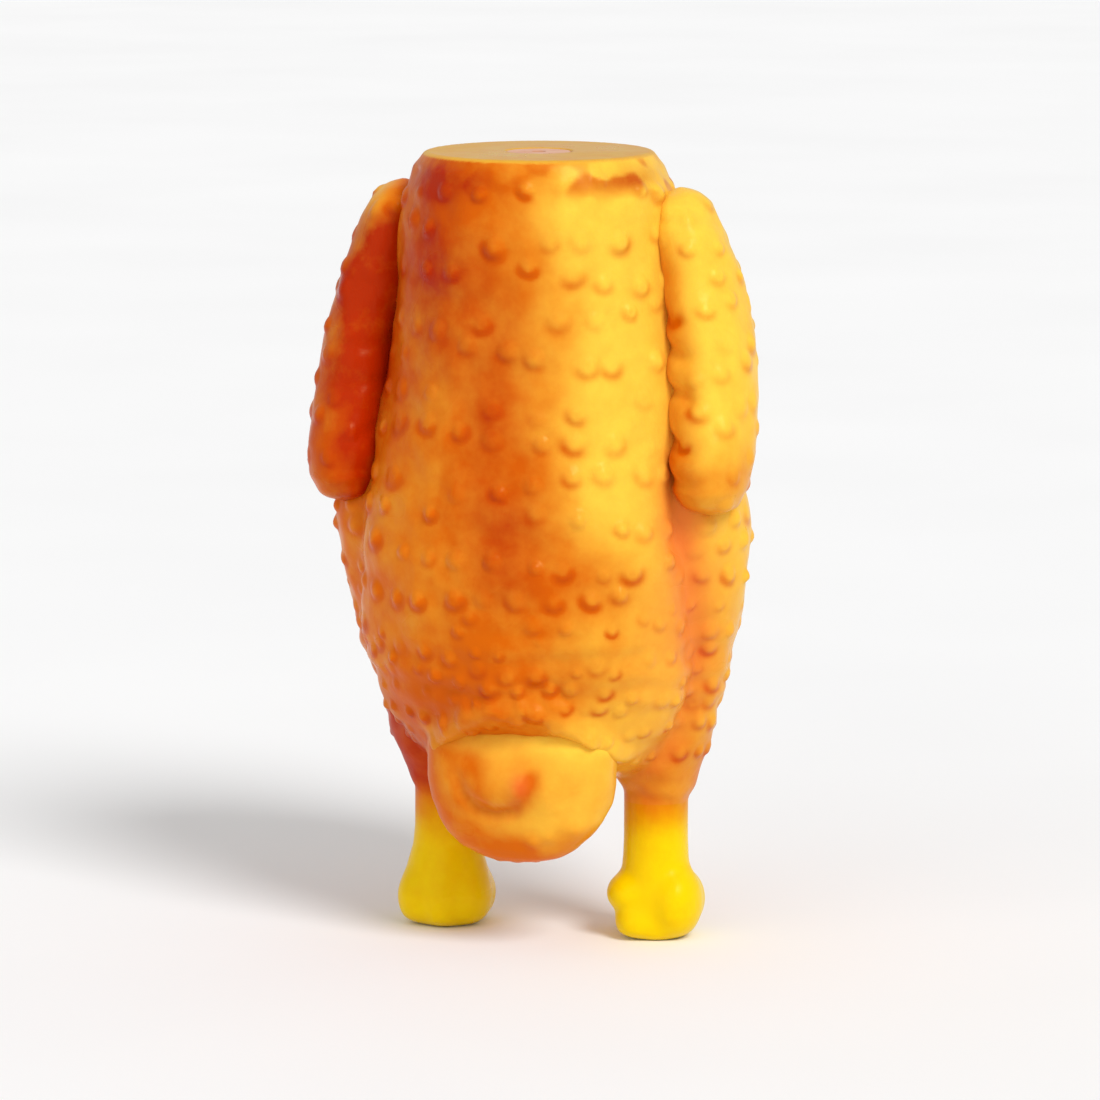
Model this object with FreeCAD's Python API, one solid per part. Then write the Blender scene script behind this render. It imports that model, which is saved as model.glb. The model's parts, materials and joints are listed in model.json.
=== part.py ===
"""Squeaky roast-chicken toy: a hollow soft-vinyl skin with a reed squeaker pressed into the neck face.

Millimetres, +Z up, the toy standing on its two leg bones. Its back and tail face -Y and its breast +Y.
The origin is the middle of the bounding box's bottom. The skin is one moulding on the real toy. Here it is
cut into sections at the places where it flexes, and each cut is a ball or roller in a matching seat, so
that a section can bend without touching its neighbour.
"""

import FreeCAD, Part
import math
import os

from FreeCAD import Base, Vector

# ---------------------------------------------------------------- driving sizes
TORSO_HEIGHT = 130.5  # torso bottom to neck face
TORSO_WIDTH = 77.0
BACK_DEPTH = 31.5  # neck axis to the furthest point of the back
BREAST_DEPTH = 54.0  # neck axis to the furthest point of the breast
WALL = 2.2  # moulded vinyl wall
NECK_FACE_WALL = 2.6
FLEX_GAP = 0.4  # gap between two sections of the skin at a flex line
LAY_GAP = 0.7  # gap between a wing's inner face and the torso under it
TAIL_GAP = 1.6  # room behind the tail for its swing

LEG_LENGTH = 44.0  # sole to hip centre
HIP_ABOVE_TORSO_BOTTOM = 9.5
HIP_BALL_RADIUS = 11.0
HIP_FORWARD = 8.5  # of the neck axis, towards the breast
STANCE_INSET = 15.5  # torso's side in to the hip centre
HIP_OPENING_ABOVE_CENTRE = 6.0
LEG_ROOM_FLARE = 1.6  # how much wider than the ball's seat the mouth under it is, for the cuff's swing

THIGH_HALF_WIDTH = 16.5
THIGH_HALF_DEPTH = 17.0
THIGH_UP = 24.0  # from its widest height to its top
THIGH_DOWN = 50.0  # from its widest height to its lower tip
THIGH_INSET = 11.0  # torso's side in to the thigh's centre
THIGH_FORWARD = 2.5
THIGH_LEAN = 8.0  # degrees, the thigh's lower end towards the breast
THIGH_TOE_IN = 4.0  # degrees, the thigh's lower end towards the middle
THIGH_ABOVE_HIP = 42.0

CUFF_INSIDE_BALL = 0.8  # the cuff's top radius under the hip ball's
CUFF_LIP = 1.2  # the cuff's end round the bone's seat
CUFF_END_ROUND = 0.8

BONE_HEIGHT = 30.0  # sole to the bone's flex centre, where the cuff ends
SHAFT_RADIUS = 6.4
BONE_BALL_PROUD = 0.3  # the flex ball's radius over the shaft's
SHAFT_WALL = 1.8
KNUCKLE_HEIGHT = 17.0
KNUCKLE_LOBE = Vector(6.7, 12.0, 8.6)  # half sizes of one of the knuckle's two lobes
KNUCKLE_SPREAD = 3.9  # each lobe's centre from the bone's axis
SOLE_CUT = 2.0  # how far the lobes are trimmed flat at the sole

WING_LENGTH = 66.0
WING_HALF_THICKNESS = 9.3
WING_HALF_WIDTH = 13.5
WING_TOP_BELOW_NECK_FACE = 8.0
WING_PROUD = 4.5  # wing's centre line outside the torso's side, low down
WING_FORWARD = 1.0
WING_SWEEP = 9.0  # degrees, the wing's lower end towards the back
SHOULDER_BELOW_NECK_FACE = 16.0
SHOULDER_BALL_RADIUS = 8.8
SHOULDER_PROUD = 3.0  # shoulder centre outside the neck's side

TAIL_HALF_SIZES = Vector(20.5, 8.6, 14.5)
TAIL_CENTRE_BELOW_HINGE = 11.0
TAIL_ROLLER_RADIUS = 6.0
TAIL_ROLLER_LENGTH = 26.0
TAIL_HINGE_ABOVE_TORSO_BOTTOM = 10.0
TAIL_HINGE_INSIDE_BACK = 5.5  # roller's axis in from the torso's back surface at that height

PANEL_HALF_WIDTH = 15.0
PANEL_HALF_HEIGHT = 24.0
PANEL_CENTRE_SHARE = 0.40  # of the torso's height

FLANGE_LIP = 1.1  # the flange's radius over the housing's
FLANGE_THICKNESS = 1.2
FLANGE_SINK = 0.15  # the flange's face lies this far under the neck face
HOUSING_RADIUS = 5.4
HOUSING_LENGTH = 16.0
HOUSING_WALL = 1.0
FLANGE_GAP = 0.15
SNAP_BEAD = 0.5  # bead that holds the housing behind the neck face's wall
SNAP_BEAD_LENGTH = 2.0
AIR_HOLE_RADIUS = 1.5
REED_BASE_LENGTH = 12.0
REED_CLAMP_LENGTH = 4.0
REED_THICKNESS = 0.2
REED_WIDTH = 4.4
REED_CHANNEL_WIDTH = 3.0
REED_CHANNEL_DEPTH = 1.8
REED_SLOT_GAP = 0.12  # each side of the reed where the clamp holds it
REED_LAY_ANGLE = 4.0  # degrees that the base's face falls away under the free reed
REED_FREE_START = 0.4

# ---------------------------------------------------------------- places that follow from the sizes
NECK_Y = (BACK_DEPTH - BREAST_DEPTH) / 2
TORSO_BOTTOM = LEG_LENGTH - HIP_ABOVE_TORSO_BOTTOM
NECK_TOP = TORSO_BOTTOM + TORSO_HEIGHT
HIP = Vector(TORSO_WIDTH / 2 - STANCE_INSET, NECK_Y + HIP_FORWARD, LEG_LENGTH)
BONE_FLEX = Vector(HIP.x, HIP.y, BONE_HEIGHT)
THIGH = Vector(TORSO_WIDTH / 2 - THIGH_INSET, NECK_Y + THIGH_FORWARD, LEG_LENGTH + THIGH_ABOVE_HIP)
PANEL_Z = TORSO_BOTTOM + PANEL_CENTRE_SHARE * TORSO_HEIGHT
BONE_BALL_RADIUS = SHAFT_RADIUS + BONE_BALL_PROUD
CUFF_TOP_RADIUS = HIP_BALL_RADIUS - CUFF_INSIDE_BALL
CUFF_END_RADIUS = BONE_BALL_RADIUS + FLEX_GAP + CUFF_LIP
FLANGE_RADIUS = HOUSING_RADIUS + FLANGE_LIP

# Torso outline: share of the height, then of the half width, the back's depth and the breast's depth.
TORSO_OUTLINE = [
    (0.000, 0.400, 0.300, 0.120),
    (0.030, 0.600, 0.460, 0.280),
    (0.070, 0.745, 0.620, 0.500),
    (0.120, 0.865, 0.775, 0.720),
    (0.190, 0.955, 0.895, 0.880),
    (0.280, 0.995, 0.975, 0.970),
    (0.370, 1.000, 1.000, 1.000),
    (0.460, 0.965, 0.985, 0.995),
    (0.560, 0.895, 0.935, 0.950),
    (0.660, 0.822, 0.880, 0.840),
    (0.760, 0.768, 0.848, 0.705),
    (0.870, 0.745, 0.838, 0.585),
    (0.945, 0.708, 0.815, 0.520),
    (0.985, 0.650, 0.775, 0.475),
    (1.000, 0.608, 0.740, 0.450),
]
OUTLINE_POINTS = 24


# ---------------------------------------------------------------- helpers
def outline_at(share):
    """Half width, back depth and breast depth of the torso at a share of its height."""
    rows = zip(TORSO_OUTLINE, TORSO_OUTLINE[1:])
    low, high = next(pair for pair in rows if share <= pair[1][0] or pair[1] is TORSO_OUTLINE[-1])
    part = (share - low[0]) / (high[0] - low[0])
    width, back, breast = (a + (b - a) * part for a, b in zip(low[1:], high[1:]))
    return width * TORSO_WIDTH / 2, back * BACK_DEPTH, breast * BREAST_DEPTH


def torso_half_width(z):
    return outline_at((z - TORSO_BOTTOM) / TORSO_HEIGHT)[0]


def torso_back_y(z):
    return NECK_Y - outline_at((z - TORSO_BOTTOM) / TORSO_HEIGHT)[1]


def ring(z, half_width, back, breast):
    """A closed smooth outline at height z, half an ellipse to the back and half to the breast."""
    points = []
    for i in range(OUTLINE_POINTS):
        angle = 2 * math.pi * i / OUTLINE_POINTS
        depth = breast if math.sin(angle) > 0 else back
        points.append(Vector(half_width * math.cos(angle), NECK_Y + depth * math.sin(angle), z))
    curve = Part.BSplineCurve()
    curve.interpolate(Points=points, PeriodicFlag=True)
    return Part.Wire(curve.toShape())


def torso_loft(grow, top):
    """The torso's outer form, grown by grow at its sides and bottom, up to the height top."""
    bottom = TORSO_BOTTOM - grow
    rings = []
    for share, _, _, _ in TORSO_OUTLINE:
        sizes = [size + grow for size in outline_at(share)]
        rings.append(ring(bottom + share * (top - bottom), *sizes))
    return Part.makeLoft(rings, True, False)


def ball(centre, radius):
    return Part.makeSphere(radius, centre)


def egg(centre, half_sizes, seam=0):
    """An ellipsoid, its upright seam turned seam degrees about Z from +X."""
    matrix = Base.Matrix()
    matrix.scale(half_sizes)
    matrix.move(centre)
    round_form = Part.makeSphere(1.0)
    round_form.rotate(Vector(0, 0, 0), Vector(0, 0, 1), seam)
    return round_form.transformGeometry(matrix)


def box_between(low, high):
    return Part.makeBox(*(high - low), low)


def turned_profile(points, centre):
    """A closed outline of (radius, height) points, turned about the upright axis through centre."""
    corners = [Vector(centre.x + radius, centre.y, z) for radius, z in points]
    face = Part.Face(Part.makePolygon(corners + corners[:1]))
    return face.revolve(centre, Vector(0, 0, 1), 360)


def mirrored(shape):
    """The same shape on the other side of the toy."""
    return shape.mirror(Vector(0, 0, 0), Vector(1, 0, 0))


def both_sides(shape):
    return [shape, mirrored(shape)]


def shrunk(sizes, wall):
    return sizes - Vector(wall, wall, wall)


# ---------------------------------------------------------------- the torso and what is cut from it
def torso_form(grow, top=NECK_TOP):
    """Torso and thighs as one solid form, grown by grow."""
    upper = Vector(THIGH_HALF_WIDTH, THIGH_HALF_DEPTH, THIGH_UP)
    lower = Vector(THIGH_HALF_WIDTH, THIGH_HALF_DEPTH, THIGH_DOWN)
    room = 2 * THIGH_DOWN * Vector(1, 1, 0)
    over = box_between(THIGH - room, THIGH + room + Vector(0, 0, 2 * THIGH_DOWN))
    thigh = egg(THIGH, shrunk(upper, -grow)).common(over)
    thigh = thigh.fuse(egg(THIGH, shrunk(lower, -grow)).cut(over))
    thigh.rotate(THIGH, Vector(1, 0, 0), THIGH_LEAN)
    thigh.rotate(THIGH, Vector(0, 1, 0), THIGH_TOE_IN)
    return torso_loft(grow, top).fuse(both_sides(thigh))


def shoulder(side):
    z = NECK_TOP - SHOULDER_BELOW_NECK_FACE
    return Vector(side * (torso_half_width(z) + SHOULDER_PROUD), NECK_Y + WING_FORWARD, z)


def tail_hinge():
    z = TORSO_BOTTOM + TAIL_HINGE_ABOVE_TORSO_BOTTOM
    return Vector(0, torso_back_y(z) + TAIL_HINGE_INSIDE_BACK, z)


def tail_roller(grow):
    hinge = tail_hinge()
    start = hinge - Vector(TAIL_ROLLER_LENGTH / 2 + grow, 0, 0)
    return Part.makeCylinder(TAIL_ROLLER_RADIUS + grow, TAIL_ROLLER_LENGTH + 2 * grow, start, Vector(1, 0, 0))


def back_window(grow):
    """An oval prism that runs in from behind the back, as large as the pressed panel plus grow."""
    half_height, half_width = PANEL_HALF_HEIGHT + grow, PANEL_HALF_WIDTH + grow
    start = Vector(0, NECK_Y - BACK_DEPTH - WALL, PANEL_Z)
    up = start + Vector(0, 0, half_height)
    side = start + Vector(half_width, 0, 0)
    oval = Part.Ellipse(up, side, start).toShape()
    return Part.Face(Part.Wire(oval)).extrude(Vector(0, BACK_DEPTH, 0))


def squeaker_seat():
    """The stepped hole in the neck face."""
    neck = Vector(0, NECK_Y, NECK_TOP)
    flange_depth = FLANGE_THICKNESS + FLANGE_SINK
    recess = Part.makeCylinder(FLANGE_RADIUS + FLANGE_GAP, flange_depth, neck - Vector(0, 0, flange_depth))
    bore = Part.makeCylinder(HOUSING_RADIUS, 2 * NECK_FACE_WALL, neck - Vector(0, 0, 2 * NECK_FACE_WALL))
    return recess.fuse(bore)


def leg_room():
    """The flared mouth below the hip on +X, which gives the cuff room to swing."""
    depth = HIP_ABOVE_TORSO_BOTTOM + HIP_BALL_RADIUS
    seat_radius = HIP_BALL_RADIUS + FLEX_GAP
    return Part.makeCone(seat_radius + LEG_ROOM_FLARE, seat_radius, depth, HIP - Vector(0, 0, depth))


def skin_shell():
    """Torso and thighs as a hollow skin, before the ports are cut."""
    inside = torso_form(-WALL, NECK_TOP - NECK_FACE_WALL)
    return torso_form(0).cut(inside)


def torso(shell):
    cutters = [back_window(FLEX_GAP), squeaker_seat(), tail_roller(FLEX_GAP)]
    cutters += both_sides(ball(HIP, HIP_BALL_RADIUS + FLEX_GAP))
    cutters += both_sides(leg_room())
    cutters += both_sides(ball(shoulder(1), SHOULDER_BALL_RADIUS + FLEX_GAP))
    for cutter in cutters:
        shell = shell.cut(cutter)
    return shell


def back_panel(shell):
    return shell.common(back_window(0))


# ---------------------------------------------------------------- limbs
def wing(side):
    """The wing on the side's X: a hollow lobe laid against the torso, with a ball at the shoulder.

    The lobe's seam faces the torso, where it is cut away.
    """
    joint = shoulder(side)
    centre_z = NECK_TOP - WING_TOP_BELOW_NECK_FACE - WING_LENGTH / 2
    low_z = centre_z - WING_LENGTH / 4
    low_x = torso_half_width(low_z) + WING_PROUD
    lean = math.atan2(low_x - abs(joint.x), joint.z - low_z)
    centre = Vector(joint.x + side * (joint.z - centre_z) * math.tan(lean), joint.y, centre_z)
    seam = 90 + 90 * side

    def lobe(wall):
        half_sizes = Vector(WING_HALF_THICKNESS, WING_HALF_WIDTH, WING_LENGTH / 2)
        form = egg(centre, shrunk(half_sizes, wall), seam)
        form.rotate(centre, Vector(0, 1, 0), -side * math.degrees(lean))
        form.rotate(joint, Vector(1, 0, 0), -WING_SWEEP)
        laid = form.cut(torso_form(LAY_GAP + wall))
        return laid.fuse(ball(joint, SHOULDER_BALL_RADIUS - wall))

    reach = 2 * SHOULDER_BALL_RADIUS * Vector(0, 1, 1)
    mouth_x = torso_half_width(joint.z) - WALL
    mouth = box_between(Vector(0, joint.y, joint.z) - reach, Vector(mouth_x, joint.y, joint.z) + reach)
    return lobe(0).cut(lobe(WALL)).cut(mouth if side > 0 else mirrored(mouth))


def drumstick_end():
    """The meat end below the hip on +X: hip ball, tapered cuff, and the bone's seat."""
    def form(wall):
        cuff = turned_profile(
            [
                (0, HIP.z),
                (CUFF_TOP_RADIUS - wall, HIP.z),
                (CUFF_END_RADIUS - wall, BONE_HEIGHT + CUFF_END_ROUND),
                (CUFF_END_RADIUS - wall - CUFF_END_ROUND, BONE_HEIGHT),
                (0, BONE_HEIGHT),
            ],
            Vector(HIP.x, HIP.y, 0),
        )
        return ball(HIP, HIP_BALL_RADIUS - wall).fuse(cuff)

    reach = HIP_BALL_RADIUS
    opening = box_between(
        HIP + Vector(-reach, -reach, HIP_OPENING_ABOVE_CENTRE), HIP + Vector(reach, reach, reach)
    )
    seat = ball(BONE_FLEX, BONE_BALL_RADIUS + FLEX_GAP)
    below = box_between(
        BONE_FLEX - Vector(reach, reach, reach), BONE_FLEX + Vector(reach, reach, 0)
    )
    solid_form, cavity = form(0), form(WALL)
    return solid_form.cut(cavity).cut(opening).cut(seat).cut(below)


def leg_bone():
    """The bone below the cuff on +X: flex ball, shaft and two-lobed knuckle, hollow with a flat sole."""
    def form(wall):
        shaft = turned_profile(
            [
                (0, BONE_HEIGHT),
                (SHAFT_RADIUS - wall, BONE_HEIGHT),
                (SHAFT_RADIUS - wall, KNUCKLE_HEIGHT),
                (KNUCKLE_SPREAD + KNUCKLE_LOBE.x - wall, KNUCKLE_LOBE.z),
                (0, KNUCKLE_LOBE.z),
            ],
            Vector(HIP.x, HIP.y, 0),
        )
        lobes = [
            egg(
                Vector(HIP.x + side * KNUCKLE_SPREAD, HIP.y, KNUCKLE_LOBE.z - SOLE_CUT),
                shrunk(KNUCKLE_LOBE, wall),
            )
            for side in (-1, 1)
        ]
        return ball(BONE_FLEX, BONE_BALL_RADIUS - wall).fuse([shaft] + lobes)

    reach = 2 * KNUCKLE_LOBE.y
    near = Vector(HIP.x - reach, HIP.y - reach, 0)
    far = Vector(HIP.x + reach, HIP.y + reach, 0)
    under = box_between(near - Vector(0, 0, reach), far)
    bone = form(0).cut(form(SHAFT_WALL)).cut(under)
    sole = form(0).common(box_between(near, far + Vector(0, 0, SHAFT_WALL)))
    air_way = Part.makeCylinder(BONE_BALL_RADIUS / 2, BONE_BALL_RADIUS + 1, BONE_FLEX)
    return bone.fuse(sole).cut(air_way)


def tail():
    """The tail flap: a hollow lobe hanging from a roller."""
    hinge = tail_hinge()
    centre = hinge - Vector(0, 0, TAIL_CENTRE_BELOW_HINGE)

    def form(wall):
        lobe = egg(centre, shrunk(TAIL_HALF_SIZES, wall)).cut(torso_form(TAIL_GAP + wall))
        return lobe.fuse(tail_roller(-wall))

    return form(0).cut(form(WALL))


# ---------------------------------------------------------------- the squeaker
def squeaker_face_z():
    return NECK_TOP - FLANGE_SINK


def squeaker_housing():
    axis = Vector(0, NECK_Y, 0)
    top = squeaker_face_z()
    under_flange = top - FLANGE_THICKNESS
    bead_top = NECK_TOP - NECK_FACE_WALL
    bottom = top - HOUSING_LENGTH
    outline = [
        (0, top),
        (FLANGE_RADIUS, top),
        (FLANGE_RADIUS, under_flange),
        (HOUSING_RADIUS, under_flange),
        (HOUSING_RADIUS, bead_top),
        (HOUSING_RADIUS + SNAP_BEAD, bead_top),
        (HOUSING_RADIUS, bead_top - SNAP_BEAD_LENGTH),
        (HOUSING_RADIUS, bottom),
        (0, bottom),
    ]
    bore_radius = HOUSING_RADIUS - HOUSING_WALL
    bore = Part.makeCylinder(bore_radius, HOUSING_LENGTH - FLANGE_THICKNESS, axis + Vector(0, 0, bottom))
    air_hole = Part.makeCylinder(AIR_HOLE_RADIUS, HOUSING_LENGTH, axis + Vector(0, 0, bottom))
    return turned_profile(outline, axis).cut(bore).cut(air_hole)


def reed_pieces():
    """The reed's half-round base, the half-round clamp over it and the reed between them, stood in the bore.

    The base's flat side faces -Y. The clamp holds the reed's lower end, and the rest of the reed is free
    over the base's air channel, whose face falls away so that the reed has room to beat.
    """
    radius = HOUSING_RADIUS - HOUSING_WALL
    bottom = squeaker_face_z() - HOUSING_LENGTH
    axis = Vector(0, NECK_Y, bottom)
    far = 2 * radius
    slot = REED_THICKNESS / 2 + REED_SLOT_GAP

    plug = Part.makeCylinder(radius, REED_BASE_LENGTH, axis)
    base_side = box_between(
        Vector(-far, NECK_Y + slot, bottom), Vector(far, NECK_Y + far, bottom + REED_BASE_LENGTH)
    )
    free_z = bottom + REED_CLAMP_LENGTH + REED_FREE_START
    channel = box_between(
        Vector(-REED_CHANNEL_WIDTH / 2, NECK_Y, free_z),
        Vector(REED_CHANNEL_WIDTH / 2, NECK_Y + slot + REED_CHANNEL_DEPTH, bottom + REED_BASE_LENGTH),
    )
    fall = box_between(
        Vector(-far, NECK_Y - far, free_z), Vector(far, NECK_Y + slot, free_z + 2 * REED_BASE_LENGTH)
    )
    fall.rotate(Vector(0, NECK_Y + slot, free_z), Vector(1, 0, 0), -REED_LAY_ANGLE)
    base = plug.common(base_side).cut(channel).cut(fall)

    clamp_side = box_between(
        Vector(-far, NECK_Y - far, bottom), Vector(far, NECK_Y - slot, bottom + REED_CLAMP_LENGTH)
    )
    clamp = plug.common(clamp_side)

    reed = box_between(
        Vector(-REED_WIDTH / 2, NECK_Y - REED_THICKNESS / 2, bottom),
        Vector(REED_WIDTH / 2, NECK_Y + REED_THICKNESS / 2, bottom + REED_BASE_LENGTH - 1),
    )
    return {"squeaker_reed_base": base, "squeaker_reed_clamp": clamp, "squeaker_reed": reed}


# ---------------------------------------------------------------- build and write
def single_solid(name, shape):
    if len(shape.Solids) != 1:
        raise ValueError(name + " is in " + str(len(shape.Solids)) + " pieces")
    return shape.Solids[0]


def build():
    shell = skin_shell()
    pieces = {
        "torso_skin": torso(shell),
        "back_skin": back_panel(shell),
        "tail_skin": tail(),
        "squeaker_housing": squeaker_housing(),
        **reed_pieces(),
    }
    pieces["right_wing_skin"], pieces["left_wing_skin"] = wing(1), wing(-1)
    for name, shape in (
        ("drumstick_skin", drumstick_end()),
        ("leg_bone_skin", leg_bone()),
    ):
        pieces["right_" + name], pieces["left_" + name] = both_sides(shape)
    return {name: single_solid(name, shape) for name, shape in pieces.items()}


def main():
    os.makedirs("parts", exist_ok=True)
    for name, shape in build().items():
        print(name, shape.isValid(), len(shape.Solids), round(shape.Volume, 1), shape.BoundBox)
        shape.exportStep("parts/" + name + ".step")
    print("shoulder", shoulder(1), "hip", HIP, "bone flex", BONE_FLEX, "tail hinge", tail_hinge())


if __name__ == "__main__":
    main()
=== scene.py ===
"""A squeaky roast chicken toy: soft skin, bones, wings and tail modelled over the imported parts.

All shapes are worked out in millimetres, in the frame's own axes (+Z up, the back towards -Y), and each
finished mesh is scaled to metres. A form is a distance-like field: negative inside and positive outside.
"""

import json
import math

import bpy
import numpy as np
import openvdb
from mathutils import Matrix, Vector, noise
from mathutils.kdtree import KDTree


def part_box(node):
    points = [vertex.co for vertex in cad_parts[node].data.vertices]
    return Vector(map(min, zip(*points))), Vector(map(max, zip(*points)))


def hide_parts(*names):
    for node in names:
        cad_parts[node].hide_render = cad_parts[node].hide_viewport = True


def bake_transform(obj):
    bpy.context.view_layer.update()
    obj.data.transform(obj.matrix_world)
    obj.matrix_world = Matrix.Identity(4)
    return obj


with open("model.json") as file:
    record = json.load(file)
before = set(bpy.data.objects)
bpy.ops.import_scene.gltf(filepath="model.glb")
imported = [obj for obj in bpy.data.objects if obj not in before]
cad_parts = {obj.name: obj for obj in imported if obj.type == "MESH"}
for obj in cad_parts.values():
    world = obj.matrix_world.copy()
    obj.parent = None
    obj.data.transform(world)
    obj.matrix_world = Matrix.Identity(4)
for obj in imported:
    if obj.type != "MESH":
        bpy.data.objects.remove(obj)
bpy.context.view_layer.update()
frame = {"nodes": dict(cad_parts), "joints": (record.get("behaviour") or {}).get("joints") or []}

MM = 0.001
JOINTS = {joint["name"]: joint for joint in frame["joints"]}


# ---------------------------------------------------------------- places taken from the frame
def corners(node):
    low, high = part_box(node)
    return np.array(low) / MM, np.array(high) / MM


def joint_place(name):
    return np.array(JOINTS[name]["pos_m"]) / MM


TORSO_LOW, TORSO_HIGH = corners("torso_skin")
BACK_LOW, BACK_HIGH = corners("back_skin")
HOUSING_LOW, HOUSING_HIGH = corners("squeaker_housing")
HIP = joint_place("right_hip_bend")
BONE_FLEX = joint_place("right_bone_bend")
SHOULDER = joint_place("right_wing_lift")
TAIL_HINGE = joint_place("tail_bend")

NECK_TOP = TORSO_HIGH[2]
TORSO_BOTTOM = TORSO_LOW[2]
NECK_Y = (HOUSING_LOW[1] + HOUSING_HIGH[1]) / 2
BACK_DEPTH = NECK_Y - BACK_LOW[1]
BREAST_DEPTH = BACK_DEPTH - 2 * NECK_Y

# ---------------------------------------------------------------- sizes
VOXEL = 0.6
BAND = 3.0  # fields are only kept this near to the surface

TORSO_HALF_WIDTH = 38.5
NECK_EDGE_ROUND = 0.7
TORSO_BOTTOM_ROUND = 5.0
# share of the height, then shares of the half width, the back's depth and the breast's depth
TORSO_OUTLINE = [
    (0.000, 0.400, 0.300, 0.120),
    (0.030, 0.600, 0.460, 0.280),
    (0.070, 0.745, 0.620, 0.500),
    (0.120, 0.865, 0.775, 0.720),
    (0.190, 0.955, 0.895, 0.880),
    (0.280, 0.995, 0.975, 0.970),
    (0.370, 1.000, 1.000, 1.000),
    (0.460, 0.965, 0.985, 0.995),
    (0.560, 0.895, 0.935, 0.950),
    (0.660, 0.822, 0.880, 0.840),
    (0.760, 0.768, 0.848, 0.705),
    (0.870, 0.745, 0.838, 0.585),
    (0.945, 0.708, 0.815, 0.520),
    (0.985, 0.650, 0.775, 0.475),
    (1.000, 0.608, 0.740, 0.450),
]

# the roll of skin that hangs over the tail
ROLL_HEIGHT = TAIL_HINGE[2] + 8.5
ROLL_MIDDLE = 2.0  # its place across the back
ROLL_RISE = 2.7
ROLL_HALF_HEIGHT = 3.2
ROLL_DROOP = 0.028  # how fast it drops to either side, per square of the distance
ROLL_LUMP_RISE = 1.5

# skin texture
WAVE_RISE, WAVE_SIZE = 0.95, 13.0
RIPPLE_RISE, RIPPLE_SIZE = 0.38, 5.0
FOLD_RISE, FOLD_GAP = 0.22, 6.5  # low folds round the bottom of the body
# height on the body, then the gap between rows of bumps, and a bump's radius and height
ROW_GAP = [(45, 5.2), (70, 6.8), (100, 8.0), (165, 8.6)]
BUMP_RADIUS = [(45, 1.65), (70, 2.0), (100, 2.2)]
BUMP_HEIGHT = [(36, 0.45), (50, 0.82), (75, 0.9), (110, 0.84)]
SMALL_BUMP_RADIUS, SMALL_BUMP_HEIGHT, SMALL_BUMP_GAP = 1.35, 0.6, 7.5
SMALL_BUMP_CLEARANCE = 3.1
WING_BUMP_RADIUS, WING_BUMP_HEIGHT, WING_BUMP_GAP = 2.15, 0.60, 7.8

THIGH_CENTRE = np.array([TORSO_HALF_WIDTH - 11.0, NECK_Y + 2.5, HIP[2] + 42.0])
THIGH_HALF_WIDTH, THIGH_HALF_DEPTH = 16.5, 17.0
THIGH_ABOVE, THIGH_BELOW = 24.0, 50.0  # how far it reaches over and under its centre
THIGH_LEAN = math.radians(8.0)
THIGH_TOE_IN = math.radians(4.0)
THIGH_MELT = 1.6  # how softly thigh and torso run together
THIGH_CREASE = 2.5  # depth of the crease between them
THIGH_CREASE_WIDTH = 2.6
LEFT_CREASE_SHARE = 0.4  # how much of that depth is left high on the left side

HIP_RADIUS = 11.0
CUFF_TOP_RADIUS = 10.2
CUFF_END_RADIUS = 7.7
CUFF_END_ROUND = 2.8
CUFF_TILT = 1.3  # how much higher the cuff ends on its inner side, over each half of it
LEG_MELT = 4.0
CUFF_MELT = 1.8
BONE_OVERLAP = 3.0  # how far the bone's shaft runs up inside the meat

SHAFT_RADIUS = 6.7
KNUCKLE_MELT = 1.7
SOLE_ROUND = 2.5
# height and radius of the bone where it swells towards the knuckle, and how much of that each side has
BONE_SWELL = [
    (0.0, 7.4),
    (3.6, 9.5),
    (6.9, 10.1),
    (10.3, 9.4),
    (13.7, 8.3),
    (17.0, 7.2),
    (21.0, 6.75),
    (26.0, 6.7),
]
RIGHT_SWELL, LEFT_SWELL = 0.34, 0.86
# lobes of the knuckles: place from the bone's axis, height, and half sizes
RIGHT_KNUCKLE = [
    ((-4.9, -2.6, 9.5), (4.7, 6.0, 4.4)),
    ((-2.9, -3.4, 3.8), (4.6, 5.6, 4.4)),
    ((-4.6, 3.4, 6.6), (5.2, 5.8, 6.0)),
    ((5.0, -1.4, 7.8), (5.3, 7.2, 7.6)),
    ((3.4, 4.8, 7.2), (5.8, 5.2, 6.8)),
]
LEFT_KNUCKLE = [
    ((-4.8, -3.2, 5.8), (4.7, 5.8, 6.2)),
    ((-4.2, 3.8, 5.8), (5.2, 6.0, 6.2)),
    ((1.0, -5.0, 5.6), (3.8, 4.8, 6.0)),
    ((5.2, -1.6, 5.8), (4.4, 5.4, 6.2)),
    ((3.6, 4.2, 5.8), (5.6, 5.6, 6.2)),
]

POCKET_MOUTH_RADIUS = 6.65
POCKET_MOUTH_DEPTH = 1.35
POCKET_RADIUS = 6.1
POCKET_DEPTH = 17.5

# height over the shoulder, shift outwards and to +Y, and half thickness; the width follows the thickness
WING_ROWS = [
    (-56.8, 7.6, -9.6, 0.0),
    (-56.4, 7.6, -9.5, 3.4),
    (-55.0, 7.6, -9.3, 5.6),
    (-51.5, 7.5, -8.6, 7.6),
    (-45.0, 7.2, -6.6, 8.9),
    (-34.0, 6.3, -3.4, 9.3),
    (-21.0, 4.8, -0.8, 9.0),
    (-9.0, 2.5, 0.3, 8.2),
    (1.0, 0.1, 0.5, 7.0),
    (6.0, -1.2, 0.5, 5.4),
    (8.4, -1.7, 0.5, 3.2),
    (9.2, -1.8, 0.5, 0.0),
]
WING_WIDTH_SHARE = 1.35
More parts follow.
